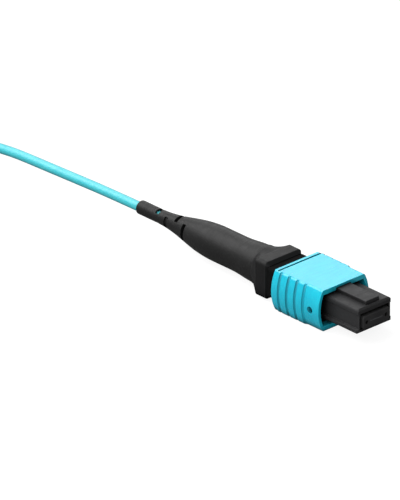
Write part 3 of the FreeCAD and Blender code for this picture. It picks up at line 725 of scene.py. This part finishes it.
# ---- the hank's strap --------------------------------------------------------------------------
def make_loop_tree():
    """Small arches of thread scattered over the base mesh, as on the soft side of a strap."""
    tree, given, out = new_group(
        "thread_loops", "GeometryNodeTree",
        [("Strap", "Geometry", None), ("Height", "Float", 0.2 * MM),
         ("Per square metre", "Float", 3e6), ("Seed", "Int", 3), ("Finish", "Material", None)],
        [("Geometry", "Geometry")])
    spots = node(tree, "GeometryNodeDistributePointsOnFaces",
                 {"Mesh": given.outputs["Strap"], "Density": given.outputs["Per square metre"],
                  "Seed": given.outputs["Seed"]})
    arch = node(tree, "GeometryNodeCurveArc", {"Resolution": 6, "Radius": given.outputs["Height"],
                                               "Sweep Angle": math.pi})
    thread_radius = maths(tree, "MULTIPLY", given.outputs["Height"], loop_thread_share)
    thread = tube(tree, arch.outputs[0], sides=3, radius=thread_radius)
    stood = node(tree, "GeometryNodeTransform", {"Geometry": thread,
                                                 "Rotation": (math.pi / 2, 0, 0)})
    full_turn = 6.28
    turn = node(tree, "ShaderNodeCombineXYZ", {2: random_between(tree, 0.0, full_turn, seed=8)})
    facing = node(tree, "FunctionNodeRotateRotation",
                  {0: spots.outputs["Rotation"], 1: turn.outputs[0]}, rotation_space="LOCAL")
    placed = node(tree, "GeometryNodeInstanceOnPoints",
                  {"Points": spots.outputs[0], "Instance": stood.outputs[0],
                   "Rotation": facing.outputs[0], "Scale": random_between(tree, 0.6, 1.2, seed=9)})
    joined = node(tree, "GeometryNodeJoinGeometry")
    tree.links.new(placed.outputs[0], joined.inputs[0])
    tree.links.new(given.outputs["Strap"], joined.inputs[0])
    end_tree(tree, given, out, joined.outputs[0])
    return tree


def strap_path(low, high, offset):
    """Once round the hank in the YZ plane, clockwise from the top right, with rounded corners."""
    corner = strap_corner + offset
    left, right = low.y - offset, high.y + offset
    bottom, top = low.z - offset, high.z + offset
    corners = [(right - corner, top - corner, 90), (right - corner, bottom + corner, 0),
               (left + corner, bottom + corner, -90), (left + corner, top - corner, -180)]
    path = []
    for y, z, start in corners:
        for part in range(corner_parts + 1):
            angle = math.radians(start - 90 / corner_parts * part)
            path.append((y + corner * math.cos(angle), z + corner * math.sin(angle)))
    return path


def pairs_round(count):
    """Each place in a closed ring, with the next one."""
    return [(place, (place + 1) % count) for place in range(count)]


def add_strap_band(form, low, high, tie_low, tie_high):
    """The closed band: an inner and an outer skin round the hank, joined along both edges."""
    skins = []
    for offset in (strap_clearance, strap_core):
        track = strap_path(low, high, offset)
        rows = []
        for step in range(strap_columns + 1):
            x = tie_low.x + (tie_high.x - tie_low.x) * step / strap_columns
            rows.append([form.verts.new((x, y, z)) for y, z in track])
        skins.append(rows)
    inner, outer = skins
    ring = pairs_round(len(track))
    for rows, turned_in in ((inner, True), (outer, False)):
        for a, b in zip(rows, rows[1:]):
            for n, m in ring:
                corners = [a[n], a[m], b[m], b[n]]
                form.faces.new(corners[::-1] if turned_in else corners)
    for side in (0, strap_columns):
        for n, m in ring:
            form.faces.new([inner[side][n], inner[side][m], outer[side][m], outer[side][n]])


def add_strap_end(form, low, high, tie_low, tie_high):
    """The free end, laid back over the band's top with a slight ripple."""
    start_y = high.y - cable_radius
    end_y = (low.y + high.y) / 2 - strap_overlap / 2
    base_z = high.z + strap_core
    rows = []
    for step in range(strap_end_steps + 1):
        share = step / strap_end_steps
        y = start_y + (end_y - start_y) * share
        lift = strap_end_lift + strap_end_ripple * math.sin(share * strap_end_waves)
        under = base_z + lift
        over = under + strap_end_thickness
        rows.append([form.verts.new((x, y, z)) for x, z in (
            (tie_low.x, under), (tie_high.x, under), (tie_high.x, over), (tie_low.x, over))])
    for a, b in zip(rows, rows[1:]):
        for n, m in pairs_round(4):
            form.faces.new([a[n], a[m], b[m], b[n]])
    form.faces.new(rows[0][::-1])
    form.faces.new(rows[-1])


def make_strap(finish):
    """A soft strap round the hank, its free end laid back over the top."""
    extents = (*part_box("cable_hank"), *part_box("hank_tie"))
    form = bmesh.new()
    add_strap_band(form, *extents)
    add_strap_end(form, *extents)
    bmesh.ops.recalc_face_normals(form, faces=form.faces)
    mesh = bpy.data.meshes.new("strap_core")
    form.to_mesh(mesh)
    form.free()
    strap = grown("hank_strap", loop_tree, finish, mesh,
                  **{"Height": loop_height, "Per square metre": loops_per_square_metre,
                     "Seed": loop_seed})
    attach(strap, "plug")
    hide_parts("hank_tie")
    return strap


# ---- springs and fibres, copied from the imported pieces ---------------------------------------
def make_shortening(name, ending, body, finish):
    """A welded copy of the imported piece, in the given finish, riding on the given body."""
    form = bmesh.new()
    form.from_mesh(nodes[name].data)
    bmesh.ops.remove_doubles(form, verts=form.verts, dist=weld_distance)
    bmesh.ops.recalc_face_normals(form, faces=form.faces)
    mesh = bpy.data.meshes.new(name + ending)
    form.to_mesh(mesh)
    form.free()
    mesh.materials.append(finish)
    piece = bpy.data.objects.new(name + ending, mesh)
    scene.collection.objects.link(piece)
    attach(piece, body)
    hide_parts(name)
    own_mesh(piece)


def make_springs():
    """The springs ride on the plug."""
    steel = make_metal("spring_steel", (0.62, 0.62, 0.63, 1), (0.40, 0.41, 0.43, 1),
                       roughness=0.25, along=(1, 0.3, 0.3))
    for name, joint, travel in (("main_spring", "ferrule_float", ferrule_travel),
                                ("sleeve_spring_left", "sleeve_slide", sleeve_travel),
                                ("sleeve_spring_right", "sleeve_slide", sleeve_travel)):
        make_shortening(name, "_wire", "plug", steel)


def make_fibres():
    """The fibres ride on the ferrule."""
    for number, (name, colour) in enumerate(fibre_colours.items(), 1):
        coating = "coating_" + name
        make_shortening("fibre_%02d" % number, "_strand", "ferrule",
                        make_coating(coating, colour))


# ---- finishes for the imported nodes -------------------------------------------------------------
def dress(name, material):
    """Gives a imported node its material."""
    mesh = nodes[name].data
    mesh.materials.clear()
    mesh.materials.append(material)


def dress_nodes():
    """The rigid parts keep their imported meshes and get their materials."""
    # The third colour of each moulded finish is painted on its edges as a highlight, and the
    # crevice values set its painted shade.
    dress("outer_sleeve", moulded(
        "sleeve_aqua", aqua, aqua_deep, aqua_highlight, roughness=0.22, grain=1.0, flow=0.5, drift=0.2,
        uneven=0.12, dust=0.02, edge_radius=0.10 * MM, edge_highlight_share=0.6, crevice_shade=0.75,
        Subsurface_Weight=0.1, Subsurface_Radius=(0.2, 0.6, 0.8), Subsurface_Scale=0.5 * MM))
    dress("inner_housing", moulded(
        "housing_black", (0.029, 0.029, 0.030, 1), (0.021, 0.021, 0.022, 1),
        (0.09, 0.09, 0.092, 1), roughness=0.50, grain=0.8, dust=0.03, edge_radius=0.14 * MM,
        edge_highlight_share=0.8, shine=0.1, crevice_shade=0.95, crevice_shade_reach=2.8 * MM,
        neck_shade_x=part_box("outer_sleeve")[0].x))
    dress("spring_push", moulded(
        "rear_black", (0.012, 0.012, 0.012, 1), (0.008, 0.008, 0.009, 1), (0.10, 0.10, 0.10, 1),
        roughness=0.45, grain=0.8, dust=0.03, edge_radius=0.16 * MM, edge_highlight_share=1.0, shine=0.1,
        crevice_shade=1.0, crevice_shade_reach=4 * MM))
    dress("mt_ferrule", moulded(
        "ferrule_black", (0.016, 0.016, 0.017, 1), (0.03, 0.03, 0.03, 1), (0.05, 0.05, 0.05, 1),
        roughness=0.5, grain=0.7, drift=0.5, dust=0.04, edge_radius=0.05 * MM, shine=0.3,
        crevice_shade=0.8))
    dress("ferrule_boot", moulded(
        "soft_boot", (0.03, 0.03, 0.032, 1), (0.02, 0.02, 0.02, 1), (0.05, 0.05, 0.05, 1),
        roughness=0.6, grain=0.6))
    dress("pin_keeper", moulded(
        "keeper_grey", (0.22, 0.23, 0.24, 1), (0.15, 0.16, 0.17, 1), (0.4, 0.4, 0.4, 1),
        roughness=0.4, grain=0.6))
    dress("boot", moulded(
        "boot_rubber", (0.012, 0.012, 0.012, 1), (0.009, 0.009, 0.009, 1), (0.05, 0.05, 0.05, 1),
        roughness=0.46, grain=1.2, flow=0.15, dust=0.04, bump=0.015 * MM, shine=0.16, crevice_shade=0.7,
        crevice_shade_reach=2 * MM))
    dress("crimp_ring", make_metal("crimp_metal", (0.72, 0.70, 0.66, 1), (0.5, 0.48, 0.44, 1),
                                   roughness=0.3, along=(1, 0.1, 0.1)))


# ---- making ------------------------------------------------------------------------------------
make_camera()
skin_group = make_skin_group()
edge_group = make_edge_group()
crevice_shade_group = make_crevice_shade_group()
handling_group = make_handling_group()
twist_group = make_twist_group()
make_studio()
strand_tree = make_strand_tree()
loop_tree = make_loop_tree()
yarn_finish = make_thread_finish("aramid", (0.86, 0.62, 0.16, 1), (0.52, 0.30, 0.05, 1),
                                 pitch=0.4 * MM, bump=0.01 * MM, Roughness=0.5, Sheen_Weight=0.4)
cable, cable_end = make_cable()
end_pieces = make_cable_end(cable_end)
strap_finish = make_thread_finish("loop_strap", (0.035, 0.036, 0.04, 1), (0.008, 0.008, 0.01, 1),
                                  pitch=0.6 * MM, bump=0.03 * MM, Roughness=0.8, Sheen_Weight=0.5)
strap = make_strap(strap_finish)
make_barrel_yarn()
make_springs()
make_fibres()
dress_nodes()
